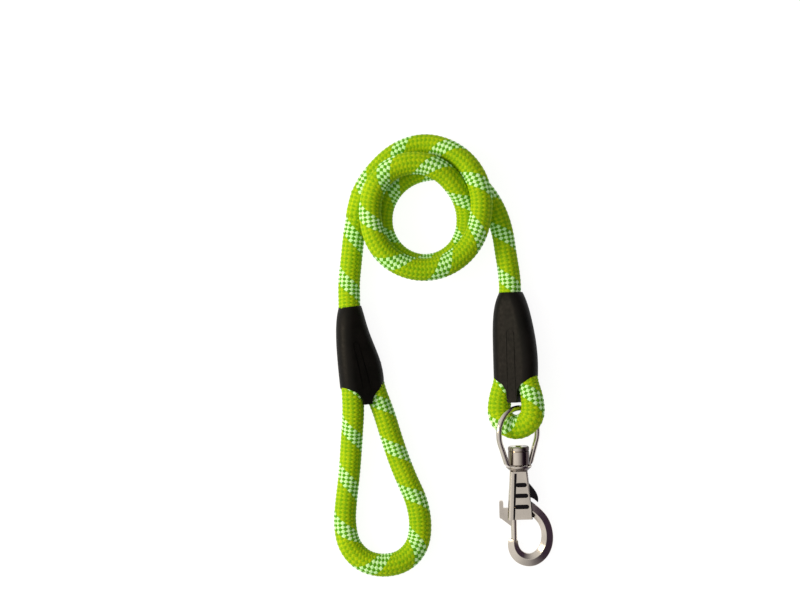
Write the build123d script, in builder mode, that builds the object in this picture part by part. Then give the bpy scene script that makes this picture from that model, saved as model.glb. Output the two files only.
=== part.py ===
"""Rope training leash with a swivel bolt snap, lying coiled on a flat surface.

Frame: millimetres, +Z up from the surface, +Y from the snap towards the coil. The origin is under
the middle of the rigid pieces (the two sleeves and the snap), on the surface.
"""

from build123d import *

import os
from math import cos, radians, sin, tan

# ---------------------------------------------------------------- driving dimensions
ROPE_DIAMETER = 12.0
ROPE_RADIUS = ROPE_DIAMETER / 2

SLEEVE_WALL = 0.9
SLEEVE_MOUTH_WALL = 0.3
STRAND_SPACING = 12.2  # between the two strands' centres inside a sleeve
STRAND_ROLL = 25.0  # the pair of strands leans this much from the surface
LOW_STRAND_Z = ROPE_RADIUS + SLEEVE_WALL
HIGH_STRAND_Z = LOW_STRAND_Z + STRAND_SPACING * sin(radians(STRAND_ROLL))
CRIMP_WALL = 0.4
CRIMP_LENGTH = 5.0
HANDLE_CRIMPS = (1.5, 7.4)  # where each crimp starts above its sleeve's lower edge
CLIP_CRIMPS = (1.8, 8.3)
# The web between the strands: how far it reaches below the sleeve's sides, and its half width there.
HANDLE_WEB = (10.6, 2.3)
CLIP_WEB = (14.4, 2.7)
ARCH_DEPTH = 0.25  # of the arch-shaped groove on each sleeve
ARCH_WIDTH = 0.9
# Each groove's places across the sleeve at its crown and below, its crown's height,
# and its half widths above and below.
HANDLE_ARCH = (-3.8, 1.3, 23.0, 1.7, 2.6)
CLIP_ARCH = (0.5, 0.5, 24.4, 2.25, 2.5)

SNAP_ORIGIN = (42.2, -23.2, 7.95)  # top of the hook's body, on the swivel's axis
SNAP_PITCH = 5.3  # the hook's end lies lower than the swivel
SNAP_LEAN = 1.4
BOW_TWIST = 37.0  # the bow is turned this much about the swivel's axis

WIRE_RADIUS = 1.6
BOW_HALF_WIDTH = 13.7
BOW_ARCH_Y = 22.0
BOW_KNEE_Y = 18.6
BOW_KNEE_RADIUS = 16.0
COLLAR_BOTTOM = 0.15
COLLAR_TOP = 3.2
COLLAR_RADIUS = 7.2
COLLAR_FOOT_RADIUS = 4.9
RUNNING_CLEARANCE = 0.08
POST_RADIUS = 2.3
CAP_RADIUS = 6.0
CAP_BOTTOM = 3.6
CAP_TOP = 14.2

BODY_LENGTH = 27.2
BODY_THICKNESS = 8.2
PANEL_DROP = 0.5  # the flat panel lies this much below the bolt tube
BOLT_X = -3.5
BOLT_RADIUS = 1.7
BORE_RADIUS = 1.8
BORE_TOP = -7.5
BOLT_TOP = -20.5
BOLT_TIP = -39.3
BOLT_TRAVEL = 9.5
LUG_THICKNESS = 2.4
THUMB_WIDTH = 5.6
HOOK_TIP_Y = -38.8
HOOK_HALF_THICKNESS = 3.4
SPRING_RADIUS = 1.3
SPRING_WIRE = 0.42
SPRING_COILS = 7

COIL_CENTRE = (-11.3, 119.9)
# Radii at every eighth of a turn, anticlockwise from +X.
COIL_LOWER_OUTER = (33.5, 44.0, 46.6, 42.7, 44.3, 36.0, 34.0, 33.5)
COIL_UPPER_OUTER = (37.8, 43.0, 36.0, 39.0, 36.4, 35.8, 35.2, 35.7)
COIL_INNER = (18.4, 19.4, 20.4, 19.0, 18.4, 20.0, 21.4, 20.0)
COIL_EDGE_FILLET = 4.0

# The rope's route where it isn't coiled: corners of the line that the tube's arcs round off.
HANDLE_ROUTE = [
    (-48.6, 122.0, 6.0),
    (-51.0, 108.5, 6.0),
    (-52.3, 95.0, 6.0),
    (-53.7, 82.0, 6.2),
    (-53.2, 69.0, 7.4),
    (-54.3, 56.0, 11.6),
    (-53.4, 45.0, HIGH_STRAND_Z),
    (-51.6, 24.0, HIGH_STRAND_Z),
    (-50.9, 10.0, 10.6),
    (-52.1, -6.0, 6.4),
    (-53.2, -24.0, 6.0),
    (-55.2, -40.0, 6.0),
    (-56.1, -53.0, 6.0),
    (-53.7, -65.5, 6.0),
    (-45.6, -74.2, 6.0),
    (-34.2, -77.0, 6.0),
    (-22.6, -74.4, 6.0),
    (-14.6, -65.5, 6.0),
    (-12.9, -53.0, 6.0),
    (-15.3, -40.0, 6.0),
    (-20.7, -28.5, 6.0),
    (-25.6, -16.5, 6.0),
    (-30.2, -2.5, 6.0),
    (-34.3, 11.0, 6.2),
    (-39.7, 24.0, LOW_STRAND_Z),
    (-42.2, 37.8, LOW_STRAND_Z),
]
CLIP_ROUTE = [
    (6.0, 146.0, 6.0),
    (15.6, 140.6, 6.0),
    (23.4, 132.8, 6.0),
    (29.3, 123.0, 6.0),
    (33.1, 111.5, 6.0),
    (34.9, 99.0, 6.0),
    (36.8, 88.0, 6.0),
    (37.5, 77.0, 6.4),
    (34.7, 65.0, 6.9),
    (34.2, 52.0, LOW_STRAND_Z),
    (34.9, 29.5, LOW_STRAND_Z),
    (31.3, 18.0, 6.1),
    (31.2, 6.1, 6.0),
    (40.5, 0.2, 10.4),
    (49.9, 6.1, 15.0),
    (49.8, 18.0, 14.9),
    (46.1, 29.5, HIGH_STRAND_Z),
    (45.2, 43.5, HIGH_STRAND_Z),
]

# Sleeve sections, from the mouth down: standing strand's centre, strand spacing, outer radius.
FULL_RADIUS = ROPE_RADIUS + SLEEVE_WALL
MOUTH_RADIUS = ROPE_RADIUS + SLEEVE_MOUTH_WALL
HANDLE_SECTIONS = [
    ((-53.15, 69.4, 7.7), 0.2, MOUTH_RADIUS),
    ((-53.9, 60.0, 10.25), 3.4, FULL_RADIUS),
    ((-53.8, 49.0, 11.4), 7.4, FULL_RADIUS),
    ((-53.0, 38.0, 12.1), 11.1, FULL_RADIUS),
    ((-51.6, 24.3, HIGH_STRAND_Z), STRAND_SPACING, FULL_RADIUS),
    ((-50.6, 12.0, HIGH_STRAND_Z), STRAND_SPACING, FULL_RADIUS),
]
CLIP_SECTIONS = [
    ((37.4, 77.6, 6.6), 0.6, MOUTH_RADIUS),
    ((34.9, 67.0, LOW_STRAND_Z), 7.0, FULL_RADIUS),
    ((34.3, 56.0, LOW_STRAND_Z), 10.4, FULL_RADIUS),
    ((34.5, 43.5, LOW_STRAND_Z), STRAND_SPACING, FULL_RADIUS),
    ((34.9, 29.8, LOW_STRAND_Z), STRAND_SPACING, FULL_RADIUS),
    ((35.4, 14.5, LOW_STRAND_Z), STRAND_SPACING, FULL_RADIUS),
]
LOWER_EDGE = 4  # index of the section at the sleeve's lower edge

snap = Plane(Location(SNAP_ORIGIN, (SNAP_PITCH, 0, SNAP_LEAN)))
snap_axis = Axis(snap.origin, snap.y_dir)
twist = radians(BOW_TWIST)
bow_plane = Plane(
    snap.origin,
    x_dir=snap.x_dir * cos(twist) - snap.z_dir * sin(twist),
    z_dir=snap.x_dir * sin(twist) + snap.z_dir * cos(twist),
)


# ---------------------------------------------------------------- rope
def corner_radii(points):
    """One radius for each corner: 0.45 of its shorter run over the tangent of half its turn."""
    radii = []
    for before, corner, after in zip(points, points[1:], points[2:]):
        run_in = Vector(*corner) - Vector(*before)
        run_out = Vector(*after) - Vector(*corner)
        half_turn = radians(run_in.get_angle(run_out) / 2)
        radii.append(0.45 * min(run_in.length, run_out.length) / tan(half_turn))
    return radii


def rope_tube(label, points):
    """A plain tube of rope along a route of straight runs joined by tangent arcs."""
    radii = corner_radii(points)
    with BuildPart() as tube:
        with BuildLine() as path:
            FilletPolyline(*points, radius=radii)
        start = Plane(origin=path.wire() @ 0, z_dir=path.wire() % 0)
        with BuildSketch(start) as section:
            Circle(ROPE_RADIUS)
        sweep(sections=section.sketch, path=path.wire())
    tube.part.label = label
    length = path.wire().length
    fill = tube.part.volume / (section.sketch.area * length)
    print(f"{label}: length {length:.1f} mm, volume / (section x length) {fill:.4f}")
    print("  corner radii:", " ".join(f"{radius:.0f}" for radius in radii))
    return tube


def coil_ring(outer_radii, bottom, top):
    """One layer of the coil: a ring whose outer and inner outlines are smooth closed curves."""

    def outline(radii):
        step = 360 / len(radii)
        return [
            (COIL_CENTRE[0] + r * cos(radians(i * step)), COIL_CENTRE[1] + r * sin(radians(i * step)))
            for i, r in enumerate(radii)
        ]

    with BuildPart() as ring:
        with BuildSketch(Plane.XY.offset(bottom)):
            with BuildLine():
                Spline(*outline(outer_radii), periodic=True)
            make_face()
            with BuildLine():
                Spline(*outline(COIL_INNER), periodic=True)
            make_face(mode=Mode.SUBTRACT)
        extrude(amount=top - bottom)
        fillet(ring.edges().group_by(Axis.Z)[0], radius=COIL_EDGE_FILLET)
        fillet(ring.edges().group_by(Axis.Z)[-1], radius=COIL_EDGE_FILLET)
    return ring


def rope_coil_solid():
    """The outer shape of the coil: an upper layer of turns lying on a wider lower layer."""
    lower = coil_ring(COIL_LOWER_OUTER, 0, ROPE_DIAMETER + 0.5)
    upper = coil_ring(COIL_UPPER_OUTER, ROPE_DIAMETER - 4.0, 2 * ROPE_DIAMETER)
    with BuildPart() as coil:
        add(lower.part)
        add(upper.part)
    coil.part.label = "rope_coil"
    return coil


rope_handle_end = rope_tube("rope_handle_end", HANDLE_ROUTE)
rope_clip_end = rope_tube("rope_clip_end", CLIP_ROUTE)
rope_coil = rope_coil_solid()


# ---------------------------------------------------------------- sleeves and crimps
def sleeve_frame(sections, roll):
    """Plane across the sleeve's lower edge, midway between the strands, with z to the mouth.

    Its x runs from the standing strand to the strand that ends in the sleeve.
    """
    top, bottom = Vector(*sections[3][0]), Vector(*sections[LOWER_EDGE][0])
    along = (top - bottom).normalized()
    flat = along.cross(Vector(0, 0, 1))
    across = flat * cos(radians(roll)) + Vector(0, 0, 1) * sin(radians(roll))
    return Plane(bottom + across * (STRAND_SPACING / 2), x_dir=across, z_dir=along)


def sleeve_skin(sections, frame):
    """The sleeve's tapered outer shape, lofted through its sections."""
    with BuildPart() as skin:
        for centre, spacing, radius in sections:
            middle = Vector(*centre) + frame.x_dir * (spacing / 2)
            with BuildSketch(Plane(middle, x_dir=frame.x_dir, z_dir=frame.z_dir)):
                SlotCenterToCenter(spacing, 2 * radius)
        loft()
    return skin


def crimp_band(label, frame, start, rope):
    """A metal band pressed round both strands, with the cusps between them filled."""
    with BuildPart() as band:
        with BuildSketch(frame.offset(start)):
            SlotCenterToCenter(STRAND_SPACING, 2 * (ROPE_RADIUS + CRIMP_WALL))
        extrude(amount=CRIMP_LENGTH)
        add(rope.part, mode=Mode.SUBTRACT)
    band.part.label = label
    return band


def arch_groove(sections, frame, arch):
    """A narrow arch, open below, sunk into the flat that spans the two strands."""
    place, place_below, crown, half_above, half_below = arch
    along = (Vector(*sections[2][0]) - Vector(*sections[LOWER_EDGE][0])).normalized()
    up = frame.x_dir.cross(along)
    face = Plane(frame.origin + up * (FULL_RADIUS - ARCH_DEPTH), x_dir=frame.x_dir, z_dir=up)
    with BuildPart() as groove:
        for grow, mode in ((ARCH_WIDTH / 2, Mode.ADD), (-ARCH_WIDTH / 2, Mode.SUBTRACT)):
            above, below = half_above + grow, half_below + grow
            with BuildSketch(face):
                Polygon(
                    (place - above, crown),
                    (place_below - below, -12.0),
                    (place_below + below, -12.0),
                    (place + above, crown),
                    align=None,
                )
                with Locations((place, crown)):
                    Circle(above)
            extrude(amount=4.0, mode=mode)
    return groove


def moulded_sleeve(label, sections, frame, rope, crimps, web, arch):
    """Black sleeve over the doubled rope: tapered, with a web that reaches down between the strands."""
    reach, web_half = web
    side = Plane(frame.origin, x_dir=frame.x_dir, z_dir=frame.x_dir.cross(frame.z_dir))
    half = STRAND_SPACING / 2 + FULL_RADIUS + 1.0
    with BuildPart() as sleeve:
        add(sleeve_skin(sections, frame).part)
        with BuildSketch(side):
            Polygon(
                (-half, 60.0),
                (-half, 1.2),
                (-5.6, -4.0),
                (-web_half - 0.6, -7.5),
                (-web_half, -reach),
                (web_half, -reach),
                (web_half + 0.6, -7.5),
                (5.6, -4.0),
                (half, 1.2),
                (half, 60.0),
                align=None,
            )
        extrude(amount=20, both=True, mode=Mode.INTERSECT)
        add(arch_groove(sections, frame, arch).part, mode=Mode.SUBTRACT)
        for start in crimps:
            with BuildSketch(frame.offset(start)):
                SlotCenterToCenter(STRAND_SPACING, 2 * (ROPE_RADIUS + CRIMP_WALL))
            extrude(amount=CRIMP_LENGTH, mode=Mode.SUBTRACT)
        add(rope.part, mode=Mode.SUBTRACT)
    sleeve.part.label = label
    return sleeve


def sleeve_set(end, sections, roll, rope, crimps, web, arch):
    """A sleeve and its two crimps."""
    frame = sleeve_frame(sections, roll)
    lower = crimp_band(f"{end}_crimp_lower", frame, crimps[0], rope)
    upper = crimp_band(f"{end}_crimp_upper", frame, crimps[1], rope)
    sleeve = moulded_sleeve(f"{end}_sleeve", sections, frame, rope, crimps, web, arch)
    return sleeve, lower, upper


handle_sleeve, handle_crimp_lower, handle_crimp_upper = sleeve_set(
    "handle", HANDLE_SECTIONS, -STRAND_ROLL, rope_handle_end, HANDLE_CRIMPS, HANDLE_WEB, HANDLE_ARCH
)
clip_sleeve, clip_crimp_lower, clip_crimp_upper = sleeve_set(
    "clip", CLIP_SECTIONS, STRAND_ROLL, rope_clip_end, CLIP_CRIMPS, CLIP_WEB, CLIP_ARCH
)


# ---------------------------------------------------------------- snap: swivel
def cross_plane(x, y):
    """Plane across the snap's axis through a point of the snap's own frame; z points to the bow."""
    return Plane(snap.from_local_coords((x, y, 0)), x_dir=snap.x_dir, z_dir=snap.y_dir)


def swivel_bow_piece():
    """Stirrup of round wire standing on a cup-shaped collar that turns on the post."""
    crown_y = BOW_ARCH_Y + BOW_HALF_WIDTH
    half = ((6.5, -0.6), (BOW_HALF_WIDTH, BOW_KNEE_Y), (BOW_HALF_WIDTH, crown_y))
    arch_radius = BOW_HALF_WIDTH - 0.02
    with BuildPart() as bow:
        with BuildLine(bow_plane) as wire:
            FilletPolyline(
                *((-x, y) for x, y in half),
                *reversed(half),
                radius=(BOW_KNEE_RADIUS, arch_radius, arch_radius, BOW_KNEE_RADIUS),
            )
        path = wire.wire()
        with BuildSketch(Plane(path @ 0, z_dir=path % 0)):
            Circle(WIRE_RADIUS)
        sweep(path=path)
        with BuildSketch(bow_plane):
            Polygon(
                (0, COLLAR_BOTTOM),
                (COLLAR_FOOT_RADIUS, COLLAR_BOTTOM),
                (COLLAR_RADIUS, COLLAR_TOP - 0.9),
                (COLLAR_RADIUS, COLLAR_TOP),
                (0, COLLAR_TOP),
                align=None,
            )
        revolve(axis=snap_axis)
        # the legs' feet end flush with the cup's underside
        with BuildSketch(bow_plane):
            Polygon(
                (0, COLLAR_BOTTOM),
                (COLLAR_FOOT_RADIUS, COLLAR_BOTTOM),
                (COLLAR_RADIUS, COLLAR_TOP - 0.9),
                (COLLAR_RADIUS + 0.3, COLLAR_TOP - 0.2),
                (20, 12),
                (20, 50),
                (0, 50),
                align=None,
            )
        revolve(axis=snap_axis, mode=Mode.INTERSECT)
        with BuildSketch(cross_plane(0, -1.0)):
            Circle(POST_RADIUS + RUNNING_CLEARANCE)
        extrude(amount=COLLAR_TOP + 2.0, mode=Mode.SUBTRACT)
    bow.part.label = "swivel_bow"
    return bow


def swivel_cap_piece():
    """Turned cap on the post's end, with a rolled rim."""
    with BuildPart() as cap:
        with BuildSketch(snap):
            with BuildLine():
                Polyline(
                    (POST_RADIUS, CAP_BOTTOM),
                    (CAP_RADIUS - 0.4, CAP_BOTTOM),
                    (CAP_RADIUS, CAP_BOTTOM + 0.4),
                    (CAP_RADIUS, CAP_TOP - 3.0),
                    (CAP_RADIUS - 0.35, CAP_TOP - 2.7),
                    (CAP_RADIUS, CAP_TOP - 2.3),
                    (CAP_RADIUS, CAP_TOP - 0.6),
                    (CAP_RADIUS - 0.6, CAP_TOP),
                    (POST_RADIUS, CAP_TOP),
                    close=True,
                )
            make_face()
        revolve(axis=snap_axis)
    cap.part.label = "swivel_cap"
    return cap


# ---------------------------------------------------------------- snap: hook body
def hook_section(path, position, half_width):
    """Faceted section of the hook, broader outside its ridge than inside."""
    tangent = path % position
    outward = snap.z_dir.cross(tangent)
    ridge = -0.17 * half_width
    with BuildSketch(Plane(path @ position, x_dir=outward, z_dir=tangent)) as section:
        Polygon(
            (half_width, -1.4),
            (half_width, 1.4),
            (ridge, HOOK_HALF_THICKNESS),
            (-half_width, 1.2),
            (-half_width, -1.2),
            (ridge, -HOOK_HALF_THICKNESS),
            align=None,
        )
        fillet(section.vertices(), radius=0.45)
    return section.sketch


def hook_body_piece():
    """Casting: post, body with bolt tube and panel, finger horn, and the faceted hook."""
    with BuildPart() as body:
        with BuildSketch(cross_plane(-0.15, 0)):
            RectangleRounded(10.1, BODY_THICKNESS - 0.8, 1.6)
        with BuildSketch(cross_plane(0.1, -BODY_LENGTH)):
            RectangleRounded(14.2, BODY_THICKNESS, 1.8)
        loft()
        with BuildSketch(cross_plane(0, 0)):
            Circle(POST_RADIUS)
        extrude(amount=CAP_TOP + 0.5)
        chamfer(body.faces().sort_by(snap_axis)[-1].edges(), length=0.6)

        # hook, swept with its facets along its own centre line
        with BuildLine(snap) as centre:
            Spline(
                (3.6, -19.6),
                (8.4, -23.0),
                (12.7, -27.8),
                (15.2, -37.0),
                (12.7, -45.9),
                (5.8, -50.5),
                (-1.3, -48.0),
                (-4.0, -42.8),
                (-3.9, HOOK_TIP_Y),
            )
        path = centre.wire()
        widths = ((0.0, 3.5), (0.45, 3.4), (0.75, 3.6), (1.0, 2.7))
        sections = [hook_section(path, position, half) for position, half in widths]
        sweep(sections=sections, path=path, multisection=True)

        # finger horn
        with BuildSketch(snap):
            with BuildLine():
                Spline((4.6, -5.6), (8.2, -10.2), (10.3, -14.4), (10.3, -17.8))
                Spline((10.3, -17.8), (8.6, -16.2), (6.6, -15.0), (4.6, -14.6))
                Line((4.6, -14.6), (4.6, -5.6))
            make_face()
        extrude(amount=2.1, both=True)

        # the flat panel beside the bolt tube, the groove between them, and the three windows
        front = snap.offset(BODY_THICKNESS / 2)
        with BuildSketch(front):
            Polygon((-1.3, 1), (-2.9, -28), (8, -28), (8, 1), align=None)
        extrude(amount=-PANEL_DROP, mode=Mode.SUBTRACT)
        with BuildSketch(front):
            Polygon((-2.7, -0.9), (-1.3, -0.9), (-2.9, -28), (-3.9, -28), align=None)
        extrude(amount=-1.3, mode=Mode.SUBTRACT)
        for middle, width in ((-7.5, 6.2), (-13.6, 7.5), (-19.9, 8.1)):
            with BuildSketch(front.offset(1)):
                with Locations((1.05 - 0.01 * middle, middle)):
                    SlotOverall(width, 2.5)
            extrude(amount=-3.6, mode=Mode.SUBTRACT)

        # bolt bore, thumb slot and the socket for the bolt's tip
        with BuildSketch(cross_plane(BOLT_X, BORE_TOP)):
            Circle(BORE_RADIUS)
        extrude(amount=-(BODY_LENGTH + BORE_TOP + 4.0), mode=Mode.SUBTRACT)
        with BuildSketch(snap):
            with Locations((BOLT_X - 3.0, (BOLT_TOP + BOLT_TRAVEL + 0.6 - BODY_LENGTH - 4.0) / 2)):
                Rectangle(6.0, BODY_LENGTH + 4.0 + BOLT_TOP + BOLT_TRAVEL + 0.6)
        extrude(amount=LUG_THICKNESS / 2 + 0.2, both=True, mode=Mode.SUBTRACT)
        with BuildSketch(cross_plane(BOLT_X, HOOK_TIP_Y - 0.9)):
            Circle(BORE_RADIUS + 0.1)
        extrude(amount=3.0, mode=Mode.SUBTRACT)
    body.part.label = "hook_body"
    return body


# ---------------------------------------------------------------- snap: bolt and spring
def bolt_piece():
    """Round bolt with a thumb piece that reaches out through the body's side slot."""
    with BuildPart() as bolt:
        with BuildSketch(cross_plane(BOLT_X, BOLT_TIP)):
            Circle(BOLT_RADIUS)
        extrude(amount=BOLT_TOP - BOLT_TIP)
        with BuildSketch(snap):
            Polygon(
                (BOLT_X, -20.6),
                (-9.6, -20.6),
                (-10.9, -26.4),
                (-5.4, -30.8),
                (BOLT_X, -30.8),
                align=None,
            )
        extrude(amount=LUG_THICKNESS / 2, both=True)
        with BuildSketch(snap):
            with Locations((-10.4, -21.4)):
                RectangleRounded(2.3, 10.0, 0.9)
        extrude(amount=THUMB_WIDTH / 2, both=True)
    bolt.part.label = "bolt"
    return bolt


def bolt_spring_piece():
    """Compression spring between the bore's end and the bolt."""
    bottom, top = BOLT_TOP + SPRING_WIRE / 2 + 0.05, BORE_TOP - SPRING_WIRE / 2 - 0.05
    start = cross_plane(BOLT_X, bottom)
    with BuildPart() as spring:
        with BuildLine():
            coil = Helix(
                pitch=(top - bottom) / SPRING_COILS,
                height=top - bottom,
                radius=SPRING_RADIUS,
                center=start.origin,
                direction=start.z_dir,
            )
        with BuildSketch(Plane(coil @ 0, z_dir=coil % 0)):
            Circle(SPRING_WIRE / 2)
        sweep(path=coil, is_frenet=True)
    spring.part.label = "bolt_spring"
    return spring


swivel_bow = swivel_bow_piece()
swivel_cap = swivel_cap_piece()
hook_body = hook_body_piece()
bolt = bolt_piece()
bolt_spring = bolt_spring_piece()

# ---------------------------------------------------------------- export
os.makedirs("parts", exist_ok=True)
PIECES = (
    rope_handle_end,
    rope_coil,
    rope_clip_end,
    handle_sleeve,
    handle_crimp_lower,
    handle_crimp_upper,
    clip_sleeve,
    clip_crimp_lower,
    clip_crimp_upper,
    swivel_bow,
    swivel_cap,
    hook_body,
    bolt,
    bolt_spring,
)
for piece in PIECES:
    export_step(piece.part, f"parts/{piece.part.label}.step")
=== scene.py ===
import math

import bpy
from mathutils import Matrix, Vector


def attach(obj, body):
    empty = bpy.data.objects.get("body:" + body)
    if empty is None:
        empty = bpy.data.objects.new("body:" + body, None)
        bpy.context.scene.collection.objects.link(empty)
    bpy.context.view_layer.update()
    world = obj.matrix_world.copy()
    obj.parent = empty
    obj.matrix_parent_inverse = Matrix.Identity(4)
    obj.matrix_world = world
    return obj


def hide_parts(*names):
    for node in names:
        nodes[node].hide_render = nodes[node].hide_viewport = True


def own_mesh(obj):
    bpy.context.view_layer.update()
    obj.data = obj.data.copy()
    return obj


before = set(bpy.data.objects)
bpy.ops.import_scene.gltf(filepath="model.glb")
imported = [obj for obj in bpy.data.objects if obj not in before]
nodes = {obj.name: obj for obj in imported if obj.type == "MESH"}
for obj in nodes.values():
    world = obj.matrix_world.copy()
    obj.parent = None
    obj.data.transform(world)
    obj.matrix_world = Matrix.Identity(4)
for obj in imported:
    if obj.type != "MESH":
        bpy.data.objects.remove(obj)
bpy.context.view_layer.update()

MM = 0.001
scene = bpy.context.scene


# ---------------------------------------------------------------- camera
SENSOR_WIDTH = 36  # mm
PICTURE_LEVEL = 0.010  # height at which the picture's width and centre hold
PICTURE_WIDTH = 0.4504
PICTURE_CENTRE = (-0.0248, 0.0732)
CAMERA_DISTANCE = 2.4


def make_camera():
    """Long lens looking straight down, with +Y up in the picture."""
    data = bpy.data.cameras.new("camera")
    data.sensor_width = SENSOR_WIDTH
    data.lens = SENSOR_WIDTH * CAMERA_DISTANCE / PICTURE_WIDTH
    data.dof.use_dof = False
    camera = bpy.data.objects.new("camera", data)
    camera.location = (*PICTURE_CENTRE, CAMERA_DISTANCE + PICTURE_LEVEL)
    scene.collection.objects.link(camera)
    scene.camera = camera


make_camera()

# ---------------------------------------------------------------- the rope's line
ROPE_RADIUS = 6 * MM
# The routes are in mm. Each point ends with the height of the rope's centre.
REST_Z = 6.0  # on the floor
LOW_Z = 6.9  # the lower of the two strands inside a sleeve
HIGH_Z = 12.06  # the upper one
# From the coil down through the handle sleeve, round the hand loop and back into the sleeve.
HANDLE_ROUTE = [
    (-48.6, 122.0, REST_Z),
    (-51.0, 108.5, REST_Z),
    (-52.3, 95.0, REST_Z),
    (-53.7, 82.0, 6.2),
    (-53.2, 69.0, 7.4),
    (-54.3, 56.0, 11.6),
    (-53.4, 45.0, HIGH_Z),
    (-51.6, 24.0, HIGH_Z),
    (-50.9, 10.0, 10.6),
    (-52.1, -6.0, 6.4),
    (-53.2, -24.0, REST_Z),
    (-55.2, -40.0, REST_Z),
    (-56.1, -53.0, REST_Z),
    (-53.7, -65.5, REST_Z),
    (-45.6, -74.2, REST_Z),
    (-34.2, -77.0, REST_Z),
    (-22.6, -74.4, REST_Z),
    (-14.6, -65.5, REST_Z),
    (-12.9, -53.0, REST_Z),
    (-15.3, -40.0, REST_Z),
    (-20.7, -28.5, REST_Z),
    (-25.6, -16.5, REST_Z),
    (-30.2, -2.5, REST_Z),
    (-34.3, 11.0, 6.2),
    (-39.7, 24.0, LOW_Z),
    (-42.2, 37.8, LOW_Z),
]
# From the coil down through the clip sleeve, round the snap's loop and back into the sleeve.
CLIP_ROUTE = [
    (15.6, 140.6, REST_Z),
    (23.4, 132.8, REST_Z),
    (29.3, 123.0, REST_Z),
    (33.1, 111.5, REST_Z),
    (34.9, 99.0, REST_Z),
    (36.8, 88.0, REST_Z),
    (37.5, 77.0, 6.4),
    (34.7, 65.0, 6.9),
    (34.2, 52.0, LOW_Z),
    (34.9, 29.5, LOW_Z),
    (31.3, 18.0, 6.1),
    (31.2, 6.1, REST_Z),
    (40.5, 0.2, 10.4),
    (49.9, 6.1, 15.0),
    (49.8, 18.0, 14.9),
    (46.1, 29.5, HIGH_Z),
    (45.2, 43.5, HIGH_Z),
]
COIL_CENTRE = (-11.3, 119.9)
# The coil, clockwise from its left side: (radius, height) at every eighth of a turn.
COIL_STATIONS = (
    (38.3, REST_Z), (37.4, REST_Z), (41.5, 6.6), (38.2, 16.4),
    (32.2, 18.2), (30.4, 18.0), (30.2, 18.0), (30.4, 18.0),
    (30.6, 17.3), (33.4, 17.2), (30.4, 18.0), (25.2, 15.4),
    (25.0, 7.4), (27.2, REST_Z), (27.8, REST_Z), (26.2, REST_Z),
    (24.4, REST_Z), (24.4, REST_Z), (26.9, REST_Z), (32.2, REST_Z),
)


def smooth(before, here, after, beyond, share):
    """Catmull-Rom value at a share of the way from here to after."""
    cubic = 3 * (here - after) + beyond - before
    square = 2 * before - 5 * here + 4 * after - beyond + share * cubic
    return here + 0.5 * share * (after - before + share * square)


def coil_points():
    """Two points for each eighth of a turn, on a smooth curve through the stations."""
    stations = [COIL_STATIONS[0], *COIL_STATIONS, COIL_STATIONS[-1]]
    points = []
    for i in range(1, len(stations) - 2):
        for share in (0, 0.5):
            radius, z = (smooth(*values, share) for values in zip(*stations[i - 1:i + 3]))
            angle = math.pi - (i - 1 + share) * math.pi / 4
            x = COIL_CENTRE[0] + radius * math.cos(angle)
            y = COIL_CENTRE[1] + radius * math.sin(angle)
            points.append((x, y, max(z, REST_Z)))
    return points


def rope_line():
    """Points along the rope's own NURBS line, from the hand loop's end to the snap loop's end."""
    route = [*reversed(HANDLE_ROUTE), *coil_points(), *CLIP_ROUTE]
    data = bpy.data.curves.new("rope_line", "CURVE")
    data.dimensions = "3D"
    data.resolution_u = 24
    spline = data.splines.new("NURBS")
    spline.points.add(len(route) - 1)
    for point, (x, y, z) in zip(spline.points, route):
        point.co = (x * MM, y * MM, z * MM, 1)
    spline.order_u = 3
    spline.use_endpoint_u = True
    line = bpy.data.objects.new("rope_line", data)
    mesh = bpy.data.meshes.new_from_object(line)
    points = [v.co.copy() for v in mesh.vertices]
    bpy.data.objects.remove(line)
    bpy.data.meshes.remove(mesh)
    return points


# ---------------------------------------------------------------- braided rope
CARRIERS = 12  # that lean each way
PITCH = 2.325 * MM  # from one stitch to the next along the rope
SPLIT = 3  # quads along each side of a stitch
PALE_CARRIERS = 4  # neighbouring pale yarns among those that lean one way
FIRST_PALE = 3
RELIEF = 0.50 * MM
EDGE_HEIGHT = 0.30  # of a stitch's edge, as a share of the relief
SKIN_LEVEL = 0.80  # share of the relief that lies inside the rope's radius
STEPS = 4  # centre line steps for each stitch
BEND_SPAN = 20  # steps each way over which a bend is measured
OVAL = 0.13  # widening of the rope at its sharpest bends
THINNING = 0.6  # loss of height there, as a share of the widening
# The last two kinds are the same green yarn with painted shade where it lies between stitches.
GREEN, PALE, CROSSING_SHADE, DEEP_SHADE = range(4)


def even_points(points, step):
    """The line's points respaced to an even step."""
    total = sum((b - a).length for a, b in zip(points, points[1:]))
    count = round(total / step)
    spaced, index, gone = [], 0, 0.0
    for k in range(count + 1):
        want = total * k / count
        while index < len(points) - 2 and gone + (points[index + 1] - points[index]).length < want:
            gone += (points[index + 1] - points[index]).length
            index += 1
        a, b = points[index], points[index + 1]
        spaced.append(a.lerp(b, (want - gone) / (b - a).length))
    return spaced


def skin_height(p, q):
    """Relief of a skin point: full on a stitch, low on its edge, none where four stitches meet."""
    inside = (p % SPLIT != 0) + (q % SPLIT != 0)
    return (0.0, EDGE_HEIGHT, 1.0)[inside]


def yarn_kind(p, q):
    """Which yarn lies on top at a quad; the yarns that lean one way cross over and under the rest. The
    crossings get the green with painted shade, darker still among pale stitches.
    """
    one_way, other_way = p // SPLIT, q // SPLIT
    pale = (other_way - FIRST_PALE) % CARRIERS < PALE_CARRIERS
    if (one_way + other_way) % 2 == 0:
        return PALE if pale else GREEN
    return DEEP_SHADE if pale else CROSSING_SHADE


def line_tangents(centres):
    last = len(centres) - 1
    return [
        (centres[min(k + 1, last)] - centres[max(k - 1, 0)]).normalized() for k in range(last + 1)
    ]


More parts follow.
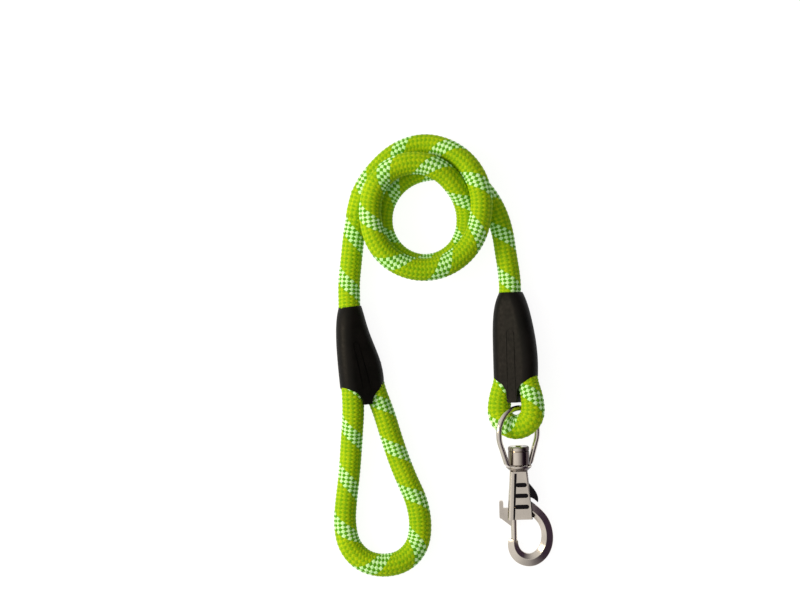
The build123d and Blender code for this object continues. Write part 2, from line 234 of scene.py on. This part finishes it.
def line_bends(tangents, step):
    """How sharply the line bends at each of its points, from 0 for straight to 1."""
    last = len(tangents) - 1
    bends = []
    for k in range(last + 1):
        a, b = tangents[max(k - BEND_SPAN, 0)], tangents[min(k + BEND_SPAN, last)]
        bends.append(min(a.angle(b) / (BEND_SPAN * step) * ROPE_RADIUS, 1.0))
    return bends


def braided_rope(line):
    """The whole rope as one closed skin of diamond-shaped stitches, with its centre line."""
    step = PITCH / STEPS
    centres = even_points(line, step)
    tangents = line_tangents(centres)
    bends = line_bends(tangents, step)
    count = len(centres)
    rows = (count - 1) // STEPS * 2 * SPLIT
    around = CARRIERS * SPLIT
    full_turn = 2 * around  # counted in half quads
    verts, faces, kinds = [], [], []
    for row in range(rows + 1):
        along = min(row * STEPS / (2 * SPLIT), count - 1.001)  # just short of the last point
        low = math.floor(along)
        centre = centres[low].lerp(centres[low + 1], along - low)
        tangent = tangents[low].lerp(tangents[low + 1], along - low).normalized()
        side = tangent.cross(Vector((0, 0, 1))).normalized()
        up = side.cross(tangent)
        flat = OVAL * bends[low]
        for turn in range(row % 2, full_turn, 2):
            height = skin_height((turn + row) // 2, (turn - row) // 2)
            radius = ROPE_RADIUS + RELIEF * (height - SKIN_LEVEL)
            wide, tall = radius * (1 + flat), radius * (1 - THINNING * flat)
            angle = 2 * math.pi * turn / full_turn
            verts.append(centre + side * wide * math.cos(angle) + up * tall * math.sin(angle))

    def point(turn, row):
        return row * around + turn % full_turn // 2

    for row in range(rows - 1):
        for turn in range(row % 2, full_turn, 2):
            left, right = point(turn - 1, row + 1), point(turn + 1, row + 1)
            faces.append((point(turn, row), left, point(turn, row + 2), right))
            kinds.append(yarn_kind((turn + row) // 2, (turn - row) // 2 - 1))
    # closed ends, inside the sleeves
    last_centre = centres[rows * STEPS // (2 * SPLIT)]
    for row, other, centre in ((0, 1, centres[0]), (rows, rows - 1, last_centre)):
        verts.append(centre)
        tip = len(verts) - 1
        for turn in range(row % 2, full_turn, 2):
            a, b, c = point(turn, row), point(turn + 1, other), point(turn + 2, row)
            faces.extend(((a, b, tip), (b, c, tip)) if row == 0 else ((b, a, tip), (c, b, tip)))
            kinds.extend((GREEN, GREEN))
    mesh = bpy.data.meshes.new("rope")
    mesh.from_pydata([tuple(v) for v in verts], [], faces)
    mesh.polygons.foreach_set("material_index", kinds)
    mesh.polygons.foreach_set("use_smooth", [True] * len(faces))
    mesh.update()
    rope = bpy.data.objects.new("rope", mesh)
    scene.collection.objects.link(rope)
    return rope, centres


rope, centres = braided_rope(rope_line())
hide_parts("rope_handle_end", "rope_coil", "rope_clip_end")
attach(rope, "rope")


# ---------------------------------------------------------------- materials
class Nodes:
    """Short calls for building one material's nodes."""

    def __init__(self, name):
        self.material = bpy.data.materials.new(name)
        self.material.use_nodes = True
        self.tree = self.material.node_tree
        self.shader = self.tree.nodes["Principled BSDF"]

    def set(self, **values):
        for name, value in values.items():
            self.shader.inputs[name.replace("_", " ")].default_value = value

    def add(self, kind, **values):
        node = self.tree.nodes.new(kind)
        for name, value in values.items():
            setattr(node, name, value)
        return node

    def link(self, source, target):
        self.tree.links.new(source, target)

    def feed(self, value, target):
        """Give a socket a constant or another node's output."""
        if isinstance(value, bpy.types.NodeSocket):
            self.link(value, target)
        else:
            target.default_value = value

    def place(self):
        return self.add("ShaderNodeTexCoord").outputs["Object"]

    def local(self, origin, turn):
        """Coordinates in a piece's own frame."""
        move = self.add("ShaderNodeMapping", vector_type="TEXTURE")
        move.inputs["Location"].default_value = origin
        move.inputs["Rotation"].default_value = turn
        self.link(self.place(), move.inputs["Vector"])
        return move.outputs["Vector"]

    def noise(self, scale, detail):
        """Noise with a scale in cells for each metre."""
        node = self.add("ShaderNodeTexNoise")
        node.inputs["Scale"].default_value = scale
        node.inputs["Detail"].default_value = detail
        self.link(self.place(), node.inputs["Vector"])
        return node.outputs["Fac"]

    def ramp(self, source, *stops):
        node = self.add("ShaderNodeValToRGB")
        elements = node.color_ramp.elements
        while len(elements) < len(stops):
            elements.new(0.5)
        for element, (position, colour) in zip(elements, stops):
            element.position = position
            element.color = (*colour, 1)
        self.link(source, node.inputs["Fac"])
        return node.outputs["Color"]

    def math(self, operation, a, b):
        node = self.add("ShaderNodeMath", operation=operation)
        self.feed(a, node.inputs[0])
        self.feed(b, node.inputs[1])
        return node.outputs["Value"]

    def between(self, value, low, high):
        above = self.math("GREATER_THAN", value, low)
        return self.math("MULTIPLY", above, self.math("LESS_THAN", value, high))

    def mix(self, factor, a, b, blend_type="MIX"):
        node = self.add("ShaderNodeMix", data_type="RGBA", blend_type=blend_type)
        for name, value in (("Factor", factor), ("A", a), ("B", b)):
            self.feed(value, node.inputs[name])
        return node.outputs["Result"]

    def range(self, source, low, high, out_low=0, out_high=1):
        node = self.add("ShaderNodeMapRange")
        limits = {"From Min": low, "From Max": high, "To Min": out_low, "To Max": out_high}
        for name, value in limits.items():
            node.inputs[name].default_value = value
        self.link(source, node.inputs["Value"])
        return node.outputs["Result"]

    def bump(self, source, distance, strength):
        node = self.add("ShaderNodeBump")
        node.inputs["Distance"].default_value = distance
        node.inputs["Strength"].default_value = strength
        self.link(source, node.inputs["Height"])
        self.link(node.outputs["Normal"], self.shader.inputs["Normal"])

    def colour(self, source):
        self.link(source, self.shader.inputs["Base Color"])

    def rough(self, source):
        self.link(source, self.shader.inputs["Roughness"])


DULL = 0.10  # specular level of yarn, rubber and the floor


def yarn_material(name, dark, light, roughness):
    """Spun yarn: mottled in two sizes, with its fibres as bump."""
    m = Nodes(name)
    fine = m.math("MULTIPLY", m.noise(scale=900, detail=2), 0.6)
    broad = m.math("MULTIPLY", m.noise(scale=70, detail=2), 0.4)
    m.colour(m.ramp(m.math("ADD", fine, broad), (0.32, dark), (0.68, light)))
    m.bump(m.noise(scale=2600, detail=2), distance=0.12 * MM, strength=0.7)
    m.set(Roughness=roughness, Specular_IOR_Level=DULL)
    return m.material


# Name, dark and light colour and roughness, in the order of GREEN, PALE, CROSSING_SHADE and DEEP_SHADE;
# the last two are the same green yarn darkened as painted shade.
YARNS = (
    ("rope_green", (0.27, 0.47, 0.001), (0.46, 0.62, 0.002), 0.70),
    ("rope_pale", (0.45, 0.92, 0.30), (0.74, 1.0, 0.55), 0.60),
    ("rope_green_crossing_painted_shade", (0.14, 0.36, 0.001), (0.28, 0.49, 0.002), 0.75),
    ("rope_green_painted_deep_shade", (0.06, 0.27, 0.003), (0.14, 0.42, 0.006), 0.75),
)
for yarn in YARNS:
    rope.data.materials.append(yarn_material(*yarn))


# Each metal's dark and light colour and roughness.
NICKEL = ((0.50, 0.46, 0.41), (0.66, 0.60, 0.53), 0.12)
STEEL = ((0.42, 0.42, 0.44), (0.60, 0.60, 0.62), 0.28)
BLACKENED_STEEL = ((0.010, 0.010, 0.010), (0.020, 0.020, 0.022), 0.50)
SMEARS = 0.10  # added roughness where the metal is least polished


def metal_look(name, dark, light, roughness):
    """Polished cast or drawn metal; gives the node set and its colour, still to be linked."""
    m = Nodes(name)
    tone = m.ramp(m.noise(scale=60, detail=3), (0.35, dark), (0.65, light))
    m.rough(m.range(m.noise(scale=420, detail=4), 0.3, 0.7, roughness, roughness + SMEARS))
    m.bump(m.noise(scale=160, detail=2), distance=0.2 * MM, strength=0.25)
    m.set(Metallic=1.0)
    return m, tone


def metal_material(name, dark, light, roughness):
    m, tone = metal_look(name, dark, light, roughness)
    m.colour(tone)
    return m.material


# The snap's own frame: its origin at the swivel, y up the snap and z out of its face.
SNAP_ORIGIN = (0.0422, -0.0232, 0.00795)
SNAP_TURN = (math.radians(5.3), 0, math.radians(1.4))
# The windows and the groove are pockets whose floors and walls are painted black as shade.
# In that frame, in mm: each window's middle (x, y) and half sizes.
WINDOWS = ((1.13, -7.5, 3.2, 1.35), (1.19, -13.6, 3.85, 1.35), (1.25, -19.9, 4.15, 1.35))
GROOVE_X, GROOVE_Y = (-2.70, -1.15), (-28, -0.8)
GROOVE_LEAN = 0.0517  # towards -x for each mm down the snap
POCKET_HEIGHTS = (1.3, 3.5)  # the floors of the windows and the groove lie between these
# Painted dark reflection along the body's right edge, and painted black shade on the finger horn:
EDGE_LEAN = 0.0846  # of the body's edge towards +x for each mm down
EDGE_X, EDGE_Y = (4.5, 5.25), (-27.3, -0.4)
EDGE_PAINTED_DARKNESS = 0.8
HORN_X, HORN_Y = 4.95, (-18.2, -5.2)
# The black of the painted shade and the painted dark reflections.
PAINTED_SHADE_BLACK = (0.012, 0.010, 0.012, 1)


def snap_place(m):
    """The snap's own x, y and z, in metres."""
    split = m.add("ShaderNodeSeparateXYZ")
    m.link(m.local(SNAP_ORIGIN, SNAP_TURN), split.inputs["Vector"])
    return [split.outputs[axis] for axis in "XYZ"]


def cast_body_material():
    """Nickel with painted shade: black in the windows and the groove, black on the finger horn, and dark
    along the body's right edge as a painted reflection.
    """
    m, tone = metal_look("cast_nickel_painted_shade", *NICKEL)
    x, y, z = (m.math("DIVIDE", distance, MM) for distance in snap_place(m))
    groove_x = m.math("SUBTRACT", x, m.math("MULTIPLY", y, GROOVE_LEAN))
    edge_x = m.math("ADD", x, m.math("MULTIPLY", y, EDGE_LEAN))

    def both(a, b):
        return m.math("MULTIPLY", a, b)

    def either(a, b):
        return m.math("MAXIMUM", a, b)

    sunk = both(m.between(groove_x, *GROOVE_X), m.between(y, *GROOVE_Y))
    for middle_x, middle_y, half_x, half_y in WINDOWS:
        across = m.between(x, middle_x - half_x, middle_x + half_x)
        along = m.between(y, middle_y - half_y, middle_y + half_y)
        sunk = either(sunk, both(across, along))
    sunk = both(sunk, m.between(z, *POCKET_HEIGHTS))
    edge = both(m.between(edge_x, *EDGE_X), m.between(y, *EDGE_Y))
    horn = both(m.math("GREATER_THAN", edge_x, HORN_X), m.between(y, *HORN_Y))
    # Painted shade: black in the windows, the groove and on the horn, and partly black along the edge.
    dark = either(sunk, either(horn, both(edge, EDGE_PAINTED_DARKNESS)))
    m.colour(m.mix(dark, tone, PAINTED_SHADE_BLACK))
    return m.material


SWIVEL_RADIUS = 6 * MM
# From the swivel's left to its right: a share of its width, and the painted shade multiplied into the
# nickel there, dark at both sides as painted dark reflections.
SWIVEL_PAINTED_SHADES = (
    (0.0, (0.16, 0.14, 0.12)),
    (0.14, (0.45, 0.41, 0.36)),
    (0.30, (1, 1, 1)),
    (0.66, (0.75, 0.72, 0.70)),
    (0.74, (0.20, 0.16, 0.18)),
    (1.0, (0.05, 0.04, 0.05)),
)


def painted_shade_nickel(name, top):
    """Nickel with painted dark reflections at both sides of the swivel, up to a height in the snap's
    frame.
    """
    m, tone = metal_look(name, *NICKEL)
    x, y, _ = snap_place(m)
    side_shade = m.ramp(m.range(x, -SWIVEL_RADIUS, SWIVEL_RADIUS), *SWIVEL_PAINTED_SHADES)
    # Painted shade: the sides' darkness is multiplied into the nickel below that height.
    m.colour(m.mix(m.math("LESS_THAN", y, top), tone, side_shade, blend_type="MULTIPLY"))
    return m.material


def sleeve_material(name):
    """Black moulded rubber with a faint grain."""
    m = Nodes(name)
    dark, light = (0.003, 0.003, 0.002), (0.006, 0.005, 0.004)
    m.colour(m.ramp(m.noise(scale=140, detail=3), (0.35, dark), (0.65, light)))
    m.rough(m.range(m.noise(scale=500, detail=4), 0.3, 0.7, 0.42, 0.56))
    m.bump(m.noise(scale=1800, detail=3), distance=0.06 * MM, strength=0.5)
    m.set(Specular_IOR_Level=DULL)
    return m.material


rubber = sleeve_material("black_rubber")
crimp_steel = metal_material("blackened_steel", *BLACKENED_STEEL)
FINISHES = {
    "handle_sleeve": rubber,
    "clip_sleeve": rubber,
    "handle_crimp_lower": crimp_steel,
    "handle_crimp_upper": crimp_steel,
    "clip_crimp_lower": crimp_steel,
    "clip_crimp_upper": crimp_steel,
    # Both swivel pieces get painted dark reflections at their sides.
    "swivel_bow": painted_shade_nickel("bow_nickel_painted_shade", top=2.6 * MM),
    "swivel_cap": painted_shade_nickel("cap_nickel_painted_shade", top=20 * MM),
    "hook_body": cast_body_material(),
    "bolt": metal_material("nickel", *NICKEL),
    "bolt_spring": metal_material("steel", *STEEL),
}
for name, material in FINISHES.items():
    data = nodes[name].data
    data.materials.clear()
    data.materials.append(material)
    data.polygons.foreach_set("material_index", [0] * len(data.polygons))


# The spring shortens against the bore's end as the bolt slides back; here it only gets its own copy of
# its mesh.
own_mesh(nodes["bolt_spring"])


# ---------------------------------------------------------------- floor and light
FLOOR_REACH = 3.0  # each way from the middle
FLOOR_GREY = (0.22, 0.22, 0.22, 1)
FLOOR_GLOW = 0.90


def make_floor():
    """A pale floor that glows, so that only faint shadows remain on it."""
    mesh = bpy.data.meshes.new("floor")
    corners = [(x * FLOOR_REACH, y * FLOOR_REACH, 0) for x, y in ((-1, -1), (1, -1), (1, 1), (-1, 1))]
    mesh.from_pydata(corners, [], [(0, 1, 2, 3)])
    floor = bpy.data.objects.new("floor", mesh)
    scene.collection.objects.link(floor)
    m = Nodes("floor")
    m.set(Base_Color=FLOOR_GREY, Roughness=0.9, Specular_IOR_Level=DULL)
    m.set(Emission_Color=(1, 1, 1, 1), Emission_Strength=FLOOR_GLOW)
    mesh.materials.append(m.material)


def make_light(name, location, target, side, power, colour):
    """A square lamp that faces its target."""
    data = bpy.data.lights.new(name, "AREA")
    data.color = colour
    data.size = side
    data.energy = power
    light = bpy.data.objects.new(name, data)
    light.location = location
    aim = Vector(target) - Vector(location)
    light.rotation_euler = aim.to_track_quat("-Z", "Y").to_euler()
    scene.collection.objects.link(light)


BRIGHT_SIDE = (-0.85, -0.05, 0.52)  # direction towards the bright end of the studio
# Each end's place on the way from the dark side, at 0, to the bright side, at 1, and its colour.
DARK_END = (0.40, (0.06, 0.038, 0.065, 1))
BRIGHT_END = (0.86, (1, 0.98, 0.95, 1))


def make_world():
    """A pale studio, brighter on the left and above, and dark low on the right."""
    world = bpy.data.worlds.new("studio")
    world.use_nodes = True
    tree = world.node_tree
    place = tree.nodes.new("ShaderNodeTexCoord")
    along = tree.nodes.new("ShaderNodeVectorMath")
    along.operation = "DOT_PRODUCT"
    along.inputs[1].default_value = Vector(BRIGHT_SIDE).normalized()
    spread = tree.nodes.new("ShaderNodeMapRange")
    spread.inputs["From Min"].default_value = -1
    ramp = tree.nodes.new("ShaderNodeValToRGB")
    for element, (position, colour) in zip(ramp.color_ramp.elements, (DARK_END, BRIGHT_END)):
        element.position = position
        element.color = colour
    tree.links.new(place.outputs["Generated"], along.inputs[0])
    tree.links.new(along.outputs["Value"], spread.inputs["Value"])
    tree.links.new(spread.outputs["Result"], ramp.inputs["Fac"])
    tree.links.new(ramp.outputs["Color"], tree.nodes["Background"].inputs["Color"])
    scene.world = world


scene.view_settings.view_transform = "Standard"
make_floor()
make_light("key", (-1.1, 0.25, 0.8), target=(0, 0.04, 0), side=0.5, power=12, colour=(1.0, 0.84, 0.60))
make_world()
